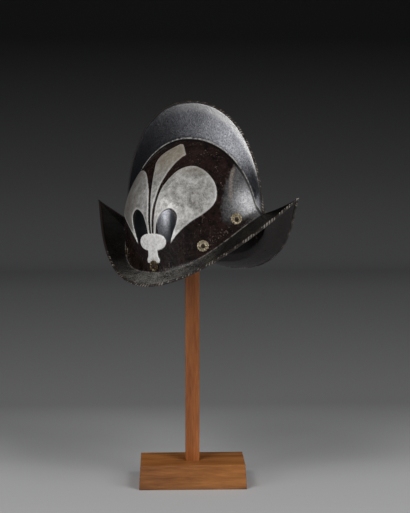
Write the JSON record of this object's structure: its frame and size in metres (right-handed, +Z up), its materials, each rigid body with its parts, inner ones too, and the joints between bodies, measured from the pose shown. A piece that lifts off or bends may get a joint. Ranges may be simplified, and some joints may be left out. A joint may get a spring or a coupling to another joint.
{
  "type": "morion helmet on wooden stand",
  "caption": "Comb morion in black-lacquered steel with a raised bright fleur-de-lys and brass rosettes, on a square wooden post and block.",
  "frame": {"origin": "centre of the wooden block's underside", "axes": "+Z up, the block's long sides along X, the helmet's front turned 37.5 degrees from +X towards -Y"},
  "size_m": [0.289, 0.253, 0.5699],
  "materials": {
    "lacquered_steel": "glossy brown-black lacquer, with the raised ornament left bright",
    "brass": "aged, dull",
    "iron": "dark, worn",
    "base_wood": "satin",
    "post_wood": "satin"
  },
  "bodies": {
    "root": {"shell": "lacquered_steel", "rosette_right_1": "brass", "rivet_right_1": "iron", "rosette_right_2": "brass", "rivet_right_2": "iron", "rosette_right_3": "brass", "rivet_right_3": "iron", "rosette_right_4": "brass", "rivet_right_4": "iron", "rosette_right_5": "brass", "rivet_right_5": "iron", "rosette_left_1": "brass", "rivet_left_1": "iron", "rosette_left_2": "brass", "rivet_left_2": "iron", "rosette_left_3": "brass", "rivet_left_3": "iron", "rosette_left_4": "brass", "rivet_left_4": "iron", "rosette_left_5": "brass", "rivet_left_5": "iron", "stand_base": "base_wood", "stand_post": "post_wood", "stand_rest": "base_wood"}
  },
  "joints": []
}
